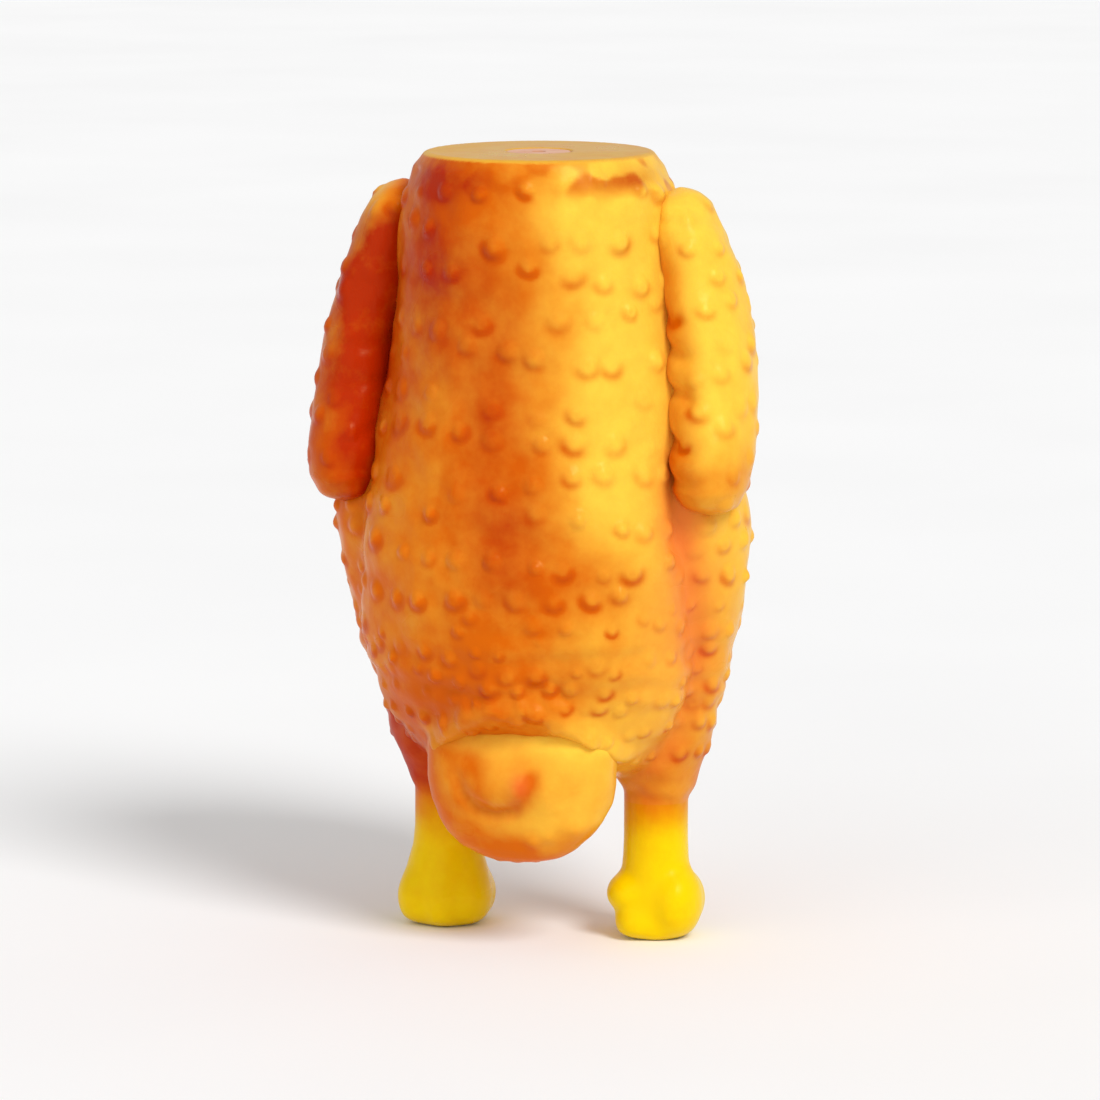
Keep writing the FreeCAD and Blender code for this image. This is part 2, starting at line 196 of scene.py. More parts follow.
# folds on the wing's inner side: height over the shoulder and depth
WING_FOLDS = [(-14.0, 0.9), (-20.5, 1.3), (-28.5, 1.5), (-38.0, 1.3), (-45.5, 0.8)]
WING_FOLD_WIDTH = 1.8
LEFT_FOLD_SHARE = 0.35  # the left wing's folds are shallower

# height over the hinge, shift to +X and to +Y from it, half width and half depth
TAIL_ROWS = [
    (-25.2, 0.6, -1.2, 0.0, 0.0),
    (-24.9, 0.6, -1.2, 5.2, 2.4),
    (-23.8, 0.5, -0.9, 9.0, 4.2),
    (-22.0, 0.4, -0.4, 12.2, 6.0),
    (-19.3, 0.4, 0.1, 15.2, 7.8),
    (-16.4, 0.5, 0.4, 17.4, 9.0),
    (-12.5, 0.6, 0.5, 19.2, 9.9),
    (-8.5, 0.7, 0.4, 20.2, 10.0),
    (-4.5, 0.7, 0.5, 20.5, 9.7),
    (-0.5, 0.6, 0.7, 20.3, 9.3),
    (2.5, 0.5, 0.9, 19.0, 8.4),
    (5.0, 0.4, 1.4, 15.6, 6.4),
    (6.4, 0.0, 1.8, 9.0, 3.6),
    (6.8, 0.0, 2.0, 0.0, 0.0),
]
TAIL_POWER = 2.25
TAIL_FACE_HEIGHT = -9.0  # of the face's middle, over the hinge; the crease and lumps are placed from it
# the smile-shaped crease on the face: (x, z)
TAIL_SMILE = [(-10.6, 2.4), (-8.8, -1.2), (-5.8, -3.8), (-2.2, -5.2), (1.4, -4.4), (4.2, -1.6), (5.8, 2.6)]
TAIL_SMILE_DEPTH, TAIL_SMILE_WIDTH = 1.15, 1.6
# lumps on the face: x, z, half width, half height and how far each stands out
TAIL_LUMPS = [
    (3.2, 0.6, 2.0, 3.0, 0.9),
    (8.6, 0.5, 2.4, 4.0, 0.8),
    (14.0, -8.0, 2.0, 1.7, 0.7),
    (5.4, -10.6, 1.6, 1.5, 0.7),
    (8.4, -9.4, 1.4, 1.2, 0.5),
]


# ---------------------------------------------------------------- fields
def union(a, b, melt):
    """Both forms, with a soft run between them."""
    near = np.maximum(melt - np.abs(a - b), 0) / melt
    return np.minimum(a, b) - near * near * melt / 4


def common(a, b, melt):
    return -union(-a, -b, melt)


def gauss(value, centre, width):
    return np.exp(-(((value - centre) / width) ** 2))


def ease(value, low, high):
    """0 up to low, 1 from high, and smooth between them; low may be the larger."""
    share = np.clip((value - low) / (high - low), 0, 1)
    return share * share * (3 - 2 * share)


def smoothed(rows, per_row=24, window=31):
    """A table's columns on a fine even scale of its first column, with their corners rounded off."""
    table = np.array(rows, float)
    scale = np.linspace(table[0, 0], table[-1, 0], per_row * len(rows))
    kernel = np.hanning(window + 2)[1:-1]
    kernel /= kernel.sum()
    columns = []
    for column in table.T[1:]:
        line = np.interp(scale, table[:, 0], column)
        ends = 2 * line[0] - line[window:0:-1], 2 * line[-1] - line[-2 : -window - 2 : -1]
        padded = np.concatenate([ends[0], line, ends[1]])
        columns.append(np.convolve(padded, kernel, "same")[window:-window])
    return scale, columns


def stack(across, along, half_across, half_along, power=2.0):
    """Field of a stack of ovals: how far a point is outside the oval at its own height."""
    tiny = 1e-3
    half_across, half_along = np.maximum(half_across, tiny), np.maximum(half_along, tiny)
    u, v = np.abs(across) / half_across + tiny, np.abs(along) / half_along + tiny
    radius = (u**power + v**power) ** (1 / power)
    slope = np.sqrt((u ** (power - 1) / half_across) ** 2 + (v ** (power - 1) / half_along) ** 2)
    return (radius - 1) * radius ** (power - 1) / slope


def egg(dx, dy, dz, sizes):
    """Field of an ellipsoid."""
    half_x, half_y, half_z = sizes
    radius = np.sqrt((dx / half_x) ** 2 + (dy / half_y) ** 2 + (dz / half_z) ** 2) + 1e-6
    slope = np.sqrt((dx / half_x**2) ** 2 + (dy / half_y**2) ** 2 + (dz / half_z**2) ** 2) + 1e-9
    return (radius - 1) * radius / slope


TORSO_SCALE, TORSO_COLUMNS = smoothed(TORSO_OUTLINE, window=13)
WING_SCALE, WING_COLUMNS = smoothed(WING_ROWS, window=11)
TAIL_SCALE, TAIL_COLUMNS = smoothed(TAIL_ROWS, window=11)
BONE_SCALE, BONE_COLUMNS = smoothed(BONE_SWELL, window=11)


def torso_field(x, y, z):
    share = (z - TORSO_BOTTOM) / (NECK_TOP - TORSO_BOTTOM)
    width, back, breast = (np.interp(share, TORSO_SCALE, column) for column in TORSO_COLUMNS)
    depth = np.where(y < NECK_Y, back * BACK_DEPTH, breast * BREAST_DEPTH)
    sides = stack(x, y - NECK_Y, width * TORSO_HALF_WIDTH, depth)
    sides = common(sides, z - NECK_TOP, NECK_EDGE_ROUND)
    return common(sides, TORSO_BOTTOM - z, TORSO_BOTTOM_ROUND)


def thigh_field(x, y, z):
    """Both thighs: an egg on each side, longer below than above."""
    dx, dy, dz = np.abs(x) - THIGH_CENTRE[0], y - THIGH_CENTRE[1], z - THIGH_CENTRE[2]
    cos_toe, sin_toe = math.cos(THIGH_TOE_IN), math.sin(THIGH_TOE_IN)
    across, up = cos_toe * dx - sin_toe * dz, sin_toe * dx + cos_toe * dz
    cos_lean, sin_lean = math.cos(THIGH_LEAN), math.sin(THIGH_LEAN)
    along, up = cos_lean * dy + sin_lean * up, cos_lean * up - sin_lean * dy
    half_height = np.where(up > 0, THIGH_ABOVE, THIGH_BELOW)
    return egg(across, along, up, (THIGH_HALF_WIDTH, THIGH_HALF_DEPTH, half_height))


def leg_field(x, y, z, side, knuckle, swell):
    """One leg below its hip: the meat's cuff, the bone's shaft and its knuckle."""
    dx, dy = x - side * HIP[0], y - HIP[1]
    radial = np.sqrt(dx * dx + dy * dy)
    around = np.arctan2(dy, dx)
    share = np.clip((HIP[2] - z) / (HIP[2] - BONE_FLEX[2]), 0, 1)
    ripple = 0.5 * np.sin(3 * around + side) + 0.35 * np.sin(7 * around + 2)
    cuff = radial - CUFF_TOP_RADIUS + (CUFF_TOP_RADIUS - CUFF_END_RADIUS) * share
    end = BONE_FLEX[2] + ripple + CUFF_TILT * (1 - side * dx / CUFF_END_RADIUS)
    cuff = common(cuff - 0.25 * np.sin(5 * around) * share, end - z, CUFF_END_ROUND)
    cuff = common(cuff, z - HIP[2], LEG_MELT)
    meat = union(cuff, egg(dx, dy, z - HIP[2], (HIP_RADIUS,) * 3), LEG_MELT)

    radius = np.interp(z, BONE_SCALE, BONE_COLUMNS[0])
    radius = SHAFT_RADIUS + (radius - SHAFT_RADIUS) * swell
    bone = common(radial - radius, z - BONE_FLEX[2] - BONE_OVERLAP, 1.0)
    for (lobe_x, lobe_y, lobe_z), sizes in knuckle:
        bone = union(bone, egg(dx - lobe_x, dy - lobe_y, z - lobe_z, sizes), KNUCKLE_MELT)
    bone = common(bone, -z, SOLE_ROUND)
    return union(meat, bone, CUFF_MELT)


def body_field(x, y, z):
    """Torso, thighs and legs, run together, with the squeaker's pocket in the neck face."""
    torso, thigh = torso_field(x, y, z), thigh_field(x, y, z)
    crease = THIGH_CREASE * (1 - (1 - LEFT_CREASE_SHARE) * ease(x, 5, -5) * ease(z, 52, 62))
    form = union(torso, thigh, THIGH_MELT) + crease * gauss(torso - thigh, 0, THIGH_CREASE_WIDTH)
    if z.min() < HIP[2] + HIP_RADIUS + LEG_MELT:
        legs = np.minimum(
            leg_field(x, y, z, 1, RIGHT_KNUCKLE, RIGHT_SWELL),
            leg_field(x, y, z, -1, LEFT_KNUCKLE, LEFT_SWELL),
        )
        form = union(form, legs, LEG_MELT)
    if z.max() > NECK_TOP - POCKET_DEPTH - BAND:
        radial = np.sqrt(x * x + (y - NECK_Y) ** 2)
        mouth = common(radial - POCKET_MOUTH_RADIUS, NECK_TOP - POCKET_MOUTH_DEPTH - z, 0.2)
        bore = common(radial - POCKET_RADIUS, NECK_TOP - POCKET_DEPTH - z, 0.5)
        form = common(form, -np.minimum(mouth, bore), 0.5)
    return form


def wing_field(x, y, z):
    """The wing on +X."""
    out, forward, thickness = (np.interp(z - SHOULDER[2], WING_SCALE, column) for column in WING_COLUMNS)
    sides = stack(
        x - SHOULDER[0] - out, y - SHOULDER[1] - forward, thickness, WING_WIDTH_SHARE * thickness
    )
    middle = SHOULDER[2] + (WING_SCALE[0] + WING_SCALE[-1]) / 2
    half_length = (WING_SCALE[-1] - WING_SCALE[0]) / 2
    return np.maximum(sides, np.abs(z - middle) - half_length)


def tail_field(x, y, z):
    columns = [np.interp(z - TAIL_HINGE[2], TAIL_SCALE, column) for column in TAIL_COLUMNS]
    shift, forward, width, depth = columns
    sides = stack(x - shift, y - TAIL_HINGE[1] - forward, width, depth, TAIL_POWER)
    middle = TAIL_HINGE[2] + (TAIL_SCALE[0] + TAIL_SCALE[-1]) / 2
    half_length = (TAIL_SCALE[-1] - TAIL_SCALE[0]) / 2
    return np.maximum(sides, np.abs(z - middle) - half_length)


# ---------------------------------------------------------------- meshing
class Skin:
    """A surface: its points in millimetres, its four-cornered faces, and what is painted on each point."""

    def __init__(self, points, quads):
        self.points = points
        self.quads = quads
        self.paint = {}

    def normals(self):
        """Each point's normal, from the faces round it."""
        a, b, c, d = (self.points[self.quads[:, corner]] for corner in range(4))
        across = np.cross(c - a, d - b)
        total = np.zeros_like(self.points)
        for corner in range(4):
            np.add.at(total, self.quads[:, corner], across)
        return total / (np.linalg.norm(total, axis=1, keepdims=True) + 1e-12)


def at(field, points):
    return field(points[:, 0], points[:, 1], points[:, 2])


def slopes(field, points, step=0.05):
    """The field's gradient at each point."""
    columns = []
    for axis in range(3):
        shift = np.zeros(3)
        shift[axis] = step
        columns.append((at(field, points + shift) - at(field, points - shift)) / (2 * step))
    return np.stack(columns, axis=1)


def skin_of(field, low, high):
    """The surface where a field is zero, as a mesh of small quads that lie on it."""
    low = np.array(low, float)
    counts = np.ceil((np.array(high) - low) / VOXEL).astype(int) + 1
    xs, ys, zs = (low[axis] + VOXEL * np.arange(counts[axis]) for axis in range(3))
    values = np.empty(counts, np.float32)
    layer = 16
    for start in range(0, counts[2], layer):
        part = zs[None, None, start : start + layer]
        values[:, :, start : start + layer] = field(xs[:, None, None], ys[None, :, None], part)
    grid = openvdb.FloatGrid(BAND)
    grid.copyFromArray(np.clip(values, -BAND, BAND))
    points, quads = grid.convertToQuads(0.0)
    points = low + VOXEL * np.array(points, float)
    for _ in range(3):
        slope = slopes(field, points)
        steep = np.maximum((slope**2).sum(axis=1), 0.05)
        move = -(at(field, points) / steep)[:, None] * slope
        points += np.clip(move, -VOXEL, VOXEL)
    skin = Skin(points, np.array(quads, int))
    if (skin.normals() * slopes(field, points)).sum() < 0:
        skin.quads = skin.quads[:, ::-1]
    return skin


# ---------------------------------------------------------------- bumps and folds
def noise_at(points, scale, seed):
    """Smooth noise, about -0.6 to 0.6, with features about scale millimetres wide."""
    shift = Vector((17.3 * seed, -9.1 * seed, 5.7 * seed))
    return np.array([noise.noise(Vector(point) / scale + shift) for point in points])


def hits(field, start, direction, reach, steps=60):
    """Where rays that come from reach away, back to start, first meet the surface."""
    distance = np.full(len(direction), float(reach))
    for _ in range(steps):
        distance -= 0.8 * np.minimum(at(field, start + direction * distance[:, None]), 4.0)
    return start + direction * np.maximum(distance, 0)[:, None]


def bump_rows(rng, field, axis_at, heights, spacing, wave, reach=75.0):
    """Places for bumps, in loose rows that go round an upright axis."""
    places = []
    turn = np.linspace(0, 2 * math.pi, 361)[:-1]
    for number, height in enumerate(heights):
        row_height = height + wave * np.sin(2 * turn + rng.uniform(0, 6))
        row_height += 0.5 * wave * np.sin(5 * turn + number)
        start = axis_at(row_height)
        direction = np.stack([np.cos(turn), np.sin(turn), np.zeros_like(turn)], axis=1)
        ring = hits(field, start, direction, reach)
        steps = np.linalg.norm(np.diff(ring, axis=0, append=ring[:1]), axis=1)
        length = np.concatenate([[0], np.cumsum(steps)[:-1]])
        gap = spacing(height)
        count = max(3, int(steps.sum() / gap))
        wanted = (np.arange(count) + 0.5 * (number % 2)) * steps.sum() / count
        wanted += rng.uniform(-0.22, 0.22, count) * gap
        for along in wanted % steps.sum():
            place = ring[min(np.searchsorted(length, along), len(ring) - 1)]
            near = gap * 0.6
            if all(np.linalg.norm(place - other) > near for other in places[-3 * count :]):
                places.append(place)
    return np.array(places)


def on_scale(value, rows):
    """The amount at a place, read from (place, amount) rows."""
    places, amounts = zip(*rows)
    return float(np.interp(value, places, amounts))


def raise_bumps(rng, skin, places, radius_at, height_at):
    """Raises a dome at each place, steeper on its lower side, and marks its lower edge and dimple: spray,
    partly painted shade.
    """
    points, normals = skin.points, skin.normals()
    tree = KDTree(len(points))
    for number, point in enumerate(points):
        tree.insert(point, number)
    tree.balance()
    rise = np.zeros(len(points))
    bump_spray_and_shade = skin.paint.setdefault("bump_spray_and_shade", np.zeros(len(points)))
    for place in places:
        radius = radius_at(place[2]) * rng.uniform(0.8, 1.2)
        height = height_at(place[2]) * rng.uniform(0.4, 1.2)
        dimple = rng.uniform(0, 0.55) if rng.random() < 0.45 else 0.0
        side = rng.uniform(-0.6, 0.6)
        shade = rng.uniform(0.0, 1.0) ** 1.2
        found = tree.find_range(place, radius * 1.6)
        if not found:
            continue
        chosen = np.array([number for _, number, _ in found])
        offset = points[chosen] - place
        normal = normals[chosen].mean(axis=0)
        normal /= np.linalg.norm(normal)
        offset -= (offset @ normal)[:, None] * normal
        down = np.array([side * normal[1], -side * normal[0], -1.0])
        down -= (down @ normal) * normal
        down /= np.linalg.norm(down) + 1e-9
        lower = offset @ down
        length = np.linalg.norm(offset, axis=1)
        stretch = np.where(lower > 0, 0.85, 1.2)
        far = np.sqrt(np.maximum(length**2 - lower**2, 0) + (lower / stretch) ** 2) / radius
        dome = np.where(far < 1, (1 - np.minimum(far, 1) ** 2) ** 1.4, 0)
        dome -= dimple * np.exp(-((far / 0.3) ** 2))
        rise[chosen] += height * dome
        # the mark on the bump's lower edge and in its dimple: spray caught there, partly painted shade
        edge = np.exp(-(((far - 0.85) / 0.44) ** 2)) * np.clip(lower / (length + 0.4) + 0.5, 0, 1)
        core = 0.5 * dimple * np.exp(-((far / 0.35) ** 2))
        bump_spray_and_shade[chosen] = np.maximum(bump_spray_and_shade[chosen], shade * np.maximum(edge, core))
    skin.points = points + normals * rise[:, None]


def push(skin, amount):
    """Moves each point along its normal."""
    skin.points = skin.points + skin.normals() * amount[:, None]


# ---------------------------------------------------------------- paint
def sprayed(points, puffs):
    """Paint from soft round puffs, each (x, y, z), (radius x, y, z), strength."""
    total = np.zeros(len(points))
    for centre, radii, strength in puffs:
        away = ((points - np.array(centre)) / np.array(radii)) ** 2
        total += strength * np.exp(-away.sum(axis=1))
    return total


def covered(amount):
    """How much of the base a sprayed coat hides: it builds up quickly, and then ever more slowly."""
    return 1 - np.exp(-PAINT_COVER * np.maximum(amount, 0))


PAINT_COVER = 1.95
ORANGE_PUFFS = [
    ((-34, -26, 92), (20, 24, 46), 0.35),
    ((-8, -38, 148), (12, 16, 20), 0.45),
    ((3, -44, 98), (9, 18, 24), 0.50),
    ((14, -42, 80), (15, 18, 9), 0.70),
    ((5, -40, 58), (21, 18, 11), 0.60),
    ((10, -40, 67), (16, 18, 8), 0.42),
    ((28, -6, 62), (16, 18, 20), 0.22),
    ((31, 12, 100), (10, 20, 20), 0.35),
    ((0, 44, 80), (24, 18, 40), 0.50),
    ((26, 30, 112), (16, 18, 26), 0.35),
    ((-30, 20, 66), (18, 26, 40), 0.45),
    ((23, -4, 37), (12, 13, 8), 0.80),
    ((-23, -4, 37), (12, 13, 8), 0.85),
    ((23, -4, 28), (9, 9, 4), 0.55),
    ((-23, -4, 28), (9, 9, 6), 0.85),
]
RED_PUFFS = [
    ((-17, -32, 150), (10, 12, 24), 0.72),
    ((-7, -37, 134), (10, 12, 14), 0.44),
    ((0, -43, 104), (9, 14, 26), 0.48),
    ((4, -43, 86), (10, 14, 10), 0.36),
    ((14, -42, 80), (9, 12, 6), 0.16),
    ((-24, -36, 112), (12, 12, 18), 0.14),
    ((-29, -2, 41), (14, 20, 14), 1.45),
    ((-31, -16, 122), (8, 14, 30), 0.85),
    ((25, -2, 42), (12, 14, 10), 0.30),
    ((0, 48, 96), (14, 14, 26), 0.30),
    ((-16, -30, 160), (10, 12, 3.0), 0.65),
    ((20, -20, 161), (8, 8, 2.2), 0.50),
    ((6, -42, 62), (20, 14, 5), 0.16),
    ((-12, -34, 53), (16, 14, 7), 0.30),
]
BLUSH_PUFFS = [
    ((34, -20, 86), (6, 12, 20), 0.50),
    ((28, -18, 60), (10, 12, 16), 0.28),
    ((-30, 2, 48), (12, 14, 10), 0.40),
]


def paint_body(skin):
    """A wash on the back's left and the breast's right, the puffs, a darker rim and crease, bare bones."""
    points = skin.points
    height = points[:, 2]
    patchy = 1 + 0.45 * noise_at(points, 11.0, 1)
    ragged = 7 * noise_at(points, 14.0, 5) + 3 * noise_at(points, 5.0, 6)
    x, behind = points[:, 0] + ragged, NECK_Y - points[:, 1]
    wash = 0.86 * ease(x, 20, -6) * ease(behind, -14, 4)
    wash += 0.50 * ease(x, -12, 10) * ease(behind, -6, -22)
    wash *= 1 + 0.35 * noise_at(points, 8.0, 7) + 0.35 * noise_at(points, 19.0, 9)
    coated = 1 - ease(height, BONE_FLEX[2] + 2.0, BONE_FLEX[2] - 3.5)
    beside = at(torso_field, points) - at(thigh_field, points)
    crease = gauss(beside, 0, 3.0) * ease(points[:, 0], 14, 24) * ease(height, 112, 92)
    rim = gauss(height, NECK_TOP - 4.0, 3.0) * ease(noise_at(points, 5.0, 8), -0.02, 0.3)
    orange = (0.06 + wash + 0.5 * rim + 0.25 * crease) * coated
    orange += sprayed(points, ORANGE_PUFFS) * patchy
    red = (sprayed(points, RED_PUFFS) * patchy + 0.3 * rim) * coated
    blush = (sprayed(points, BLUSH_PUFFS) * patchy + 0.16 * crease) * coated
    face = ease(height, NECK_TOP - 0.7, NECK_TOP - 0.2)
    skin.paint["orange"] = covered(orange) * (1 - face) + 0.22 * face
    skin.paint["red"] = np.clip(red, 0, 1) * (1 - face)
    skin.paint["blush"] = np.clip(blush, 0, 1)
    skin.paint["face"] = face


# ---------------------------------------------------------------- the skins
def body_waves(points):
    """How far the skin stands out from the body's plain form: waves, low folds, the roll over the tail."""
    x, height = points[:, 0], points[:, 2]
    waves = WAVE_RISE * noise_at(points, WAVE_SIZE, 2) + RIPPLE_RISE * noise_at(points, RIPPLE_SIZE, 3)
    low_folds = ease(height, 74, 62) * ease(height, 40, 46)
    warp = 2.2 * noise_at(points * np.array([0.5, 0.5, 1.0]), 9.0, 4)
    waves += FOLD_RISE * low_folds * np.sin(height * 2 * math.pi / FOLD_GAP + warp)

    sideways = np.abs(x - ROLL_MIDDLE)
    on_back = ease(points[:, 1] - NECK_Y, -6, -14) * ease(sideways, 30, 18)
    level = height + ROLL_DROOP * (x - ROLL_MIDDLE) ** 2
    waves += ROLL_RISE * on_back * gauss(level, ROLL_HEIGHT, ROLL_HALF_HEIGHT)
    lumps = np.maximum(noise_at(points, 3.4, 12), 0)
    waves += ROLL_LUMP_RISE * on_back * lumps * gauss(level, ROLL_HEIGHT + 1.0, 4.5)
    on_torso = ease(height, 33, 38) * (1 - ease(height, NECK_TOP - 3.5, NECK_TOP - 1.5))
    return waves * on_torso


def body_axis(z):
    """Points on the upright line that the body's rows of bumps go round."""
    return np.stack([0 * z, NECK_Y + 4 + 0 * z, z], axis=1)


def raise_body_bumps(rng, skin):
    """Bumps in rows down the whole body, and smaller ones between them low down."""
    def gap_at(z):
        return on_scale(z, ROW_GAP)

    heights = [NECK_TOP - 7]
    while heights[-1] > 42:
        heights.append(heights[-1] - gap_at(heights[-1]))
    places = bump_rows(rng, body_field, body_axis, heights, gap_at, wave=2.0)
    kept = places[(places[:, 2] > 36) & (places[:, 2] < NECK_TOP - 4)]
    kept = kept[rng.random(len(kept)) > 0.08]
    raise_bumps(rng, skin, kept, lambda z: on_scale(z, BUMP_RADIUS), lambda z: on_scale(z, BUMP_HEIGHT))

    heights = np.arange(47.0, 76.0, 5.8)
    small = bump_rows(rng, body_field, body_axis, heights, lambda z: SMALL_BUMP_GAP, wave=2.5)
    gaps = np.linalg.norm(small[:, None] - kept[None], axis=2).min(axis=1)
    small = small[(gaps > SMALL_BUMP_CLEARANCE) & (small[:, 2] > 44)]
    raise_bumps(rng, skin, small, lambda z: SMALL_BUMP_RADIUS, lambda z: SMALL_BUMP_HEIGHT)


def body_skin(rng):
    """Torso, thighs, cuffs and bones as one surface."""
    margin = 3 * VOXEL
    wide = TORSO_HIGH[0] + margin
    skin = skin_of(body_field, (-wide, -45.0, -2 * VOXEL), (wide, 46.0, NECK_TOP + margin))
    push(skin, body_waves(skin.points))
    raise_body_bumps(rng, skin)
    paint_body(skin)
    return skin


def wing_axis(z):
    """Points on the middle line of the wing on +X."""
    out, forward = (np.interp(z - SHOULDER[2], WING_SCALE, column) for column in WING_COLUMNS[:2])
    return np.stack([SHOULDER[0] + out, SHOULDER[1] + forward, z], axis=1)


def paint_wing(points, height, inner, side):
    """The right wing is yellow, orange inside and at its tip; the left is red-brown towards the body; the
    darkening inside is partly painted shade.
    """
    patchy = 1 + 0.6 * noise_at(points, 9.0, 50 + side)
    top = ease(height, -4, 6)
    low = ease(height, -34, -54)
    if side > 0:
        # orange on the inner side, towards the body: partly spray, partly painted shade
        orange = 0.08 + 0.5 * inner * (1 - top) + 0.55 * low
        red = 0.25 * inner * low
    else:
        # the left wing's red-brown, deepest towards the body: partly spray, partly painted shade
        depth = ease(points[:, 0] - SHOULDER[0], 12, -2)
        orange = 0.85 + 0.5 * inner + 0.3 * low - 0.15 * top
        red = (0.50 + 1.2 * depth) * (1 - top) * (1 - 0.35 * low)
    return {
        "orange": np.clip(orange * patchy, 0, 1),
        "red": np.clip(red * patchy, 0, 1),
        "blush": np.zeros(len(points)),
    }


def wing_skin(rng, side):
    """A wing, made on +X and turned over for the left side."""
    low = SHOULDER + np.array([-12.0, -29.0, -60.0])
    high = SHOULDER + np.array([20.0, 16.0, 11.0])
    skin = skin_of(wing_field, low, high)
    points = skin.points
    height = points[:, 2] - SHOULDER[2]
    inner = ease(points[:, 0] - wing_axis(points[:, 2])[:, 0], 3, -4)
    waves = 0.7 * noise_at(points, 11.0, 20 + side) + 0.3 * noise_at(points, 5.0, 30 + side)
    droop = 0.25 * (points[:, 1] - SHOULDER[1]) + 1.2 * noise_at(points, 8.0, 40)
    share = 1.0 if side > 0 else LEFT_FOLD_SHARE
    for fold, depth in WING_FOLDS:
        waves -= depth * share * inner * gauss(height - droop, fold, WING_FOLD_WIDTH)
    push(skin, waves)

    heights = SHOULDER[2] + np.arange(5.0, -54.0, -6.4)
    places = bump_rows(rng, wing_field, wing_axis, heights, lambda z: WING_BUMP_GAP, wave=1.6, reach=25.0)
    outer = places[:, 0] - wing_axis(places[:, 2])[:, 0] > -4.5
    raise_bumps(rng, skin, places[outer], lambda z: WING_BUMP_RADIUS, lambda z: WING_BUMP_HEIGHT)
    skin.paint.update(paint_wing(skin.points, height, inner, side))
    if side < 0:
        skin.points = skin.points * np.array([-1.0, 1.0, 1.0])
        skin.quads = skin.quads[:, ::-1]
    return skin


def along_line(x, z, line):
    """Distance from each point to a line through the given points, and the nearest share along it."""
    best = np.full(len(x), 1e9)
    share = np.zeros(len(x))
    for number, ((x0, z0), (x1, z1)) in enumerate(zip(line, line[1:])):
        length_squared = (x1 - x0) ** 2 + (z1 - z0) ** 2
        t = np.clip(((x - x0) * (x1 - x0) + (z - z0) * (z1 - z0)) / length_squared, 0, 1)
        away = np.hypot(x - x0 - t * (x1 - x0), z - z0 - t * (z1 - z0))
        share = np.where(away < best, (number + t) / (len(line) - 1), share)
        best = np.minimum(best, away)
    return best, share


def tail_skin():
    """The tail flap, with its smile-shaped crease, the cheek over it and small lumps, on its outer face."""
    low = TAIL_HINGE + np.array([-24.0, -13.0, -27.0])
    high = TAIL_HINGE + np.array([26.0, 12.0, 9.0])
    skin = skin_of(tail_field, low, high)
    points = skin.points
    outer = ease(points[:, 1] - TAIL_HINGE[1], 0, -4)
    x = points[:, 0]
    z = points[:, 2] - TAIL_HINGE[2] - TAIL_FACE_HEIGHT
    away, share = along_line(x, z, TAIL_SMILE)
    fade = np.sin(np.clip(share, 0.04, 0.96) * math.pi) ** 0.5
    waves = -TAIL_SMILE_DEPTH * fade * gauss(away, 0, TAIL_SMILE_WIDTH)
    waves += 1.7 * gauss(x, -2.0, 7.0) * gauss(z, 1.4, 5.0) * np.clip((z + 5) / 3, 0, 1)
    for lump_x, lump_z, half_width, half_height, rise in TAIL_LUMPS:
        waves += rise * gauss(x, lump_x, half_width) * gauss(z, lump_z, half_height)
    push(skin, outer * waves + 0.5 * noise_at(points, 11.0, 60) + 0.2 * noise_at(points, 5.0, 61))

    patchy = 1 + 0.5 * noise_at(skin.points, 9.0, 62)
    orange = 0.30 + 0.62 * ease(x, 11, -10) + 0.60 * ease(z, -5, -12)
    # orange along the smile crease: partly spray, partly painted shade in the crease
    orange += 0.40 * gauss(away, 0, 2.2) * outer - 0.35 * ease(z, 6, 11)
    blush = 0.45 * gauss(x, 3.4, 2.0) * gauss(z, 1.6, 2.6)
    skin.paint["orange"] = np.clip(orange * patchy, 0, 1)
    # red-brown along the smile crease: partly spray, partly painted shade
    skin.paint["red"] = np.clip(0.26 * fade * gauss(away, 0, 1.7) * outer, 0, 1)
    skin.paint["blush"] = np.clip(blush * outer, 0, 1)
    skin.paint["bump_spray_and_shade"] = np.zeros(len(points))
    return skin


# ---------------------------------------------------------------- pieces
def piece(name, skin, chosen, material, smooth_normals):
    """A mesh object of some of a skin's faces, which keeps the whole skin's normals at its edges."""
    quads = skin.quads[chosen]
    used, where = np.unique(quads, return_inverse=True)
    mesh = bpy.data.meshes.new(name)
    mesh.from_pydata((skin.points[used] * MM).tolist(), [], where.reshape(quads.shape).tolist())
    mesh.polygons.foreach_set("use_smooth", np.ones(len(quads), bool))
    for label, values in skin.paint.items():
        attribute = mesh.attributes.new(label, "FLOAT", "POINT")
        attribute.data.foreach_set("value", values[used].astype(np.float32))
    mesh.normals_split_custom_set_from_vertices(smooth_normals[used].tolist())
    mesh.materials.append(material)
    obj = bpy.data.objects.new(name, mesh)
    bpy.context.scene.collection.objects.link(obj)
    return obj


# ---------------------------------------------------------------- materials
def linear(red, green, blue):
    """A colour given as 0 to 255 on the screen."""
    def one(value):
        value /= 255
        return value / 12.92 if value <= 0.04045 else ((value + 0.055) / 1.055) ** 2.4
    return one(red), one(green), one(blue), 1.0


LEMON = linear(240, 203, 2)
VINYL_YELLOW = linear(248, 200, 66)
ORANGE = linear(216, 102, 0)
RED_BROWN = linear(176, 38, 0)
BLUSH = linear(232, 104, 56)
NECK_TAN = linear(222, 172, 58)
FLOOR_WHITE = linear(250, 250, 250)


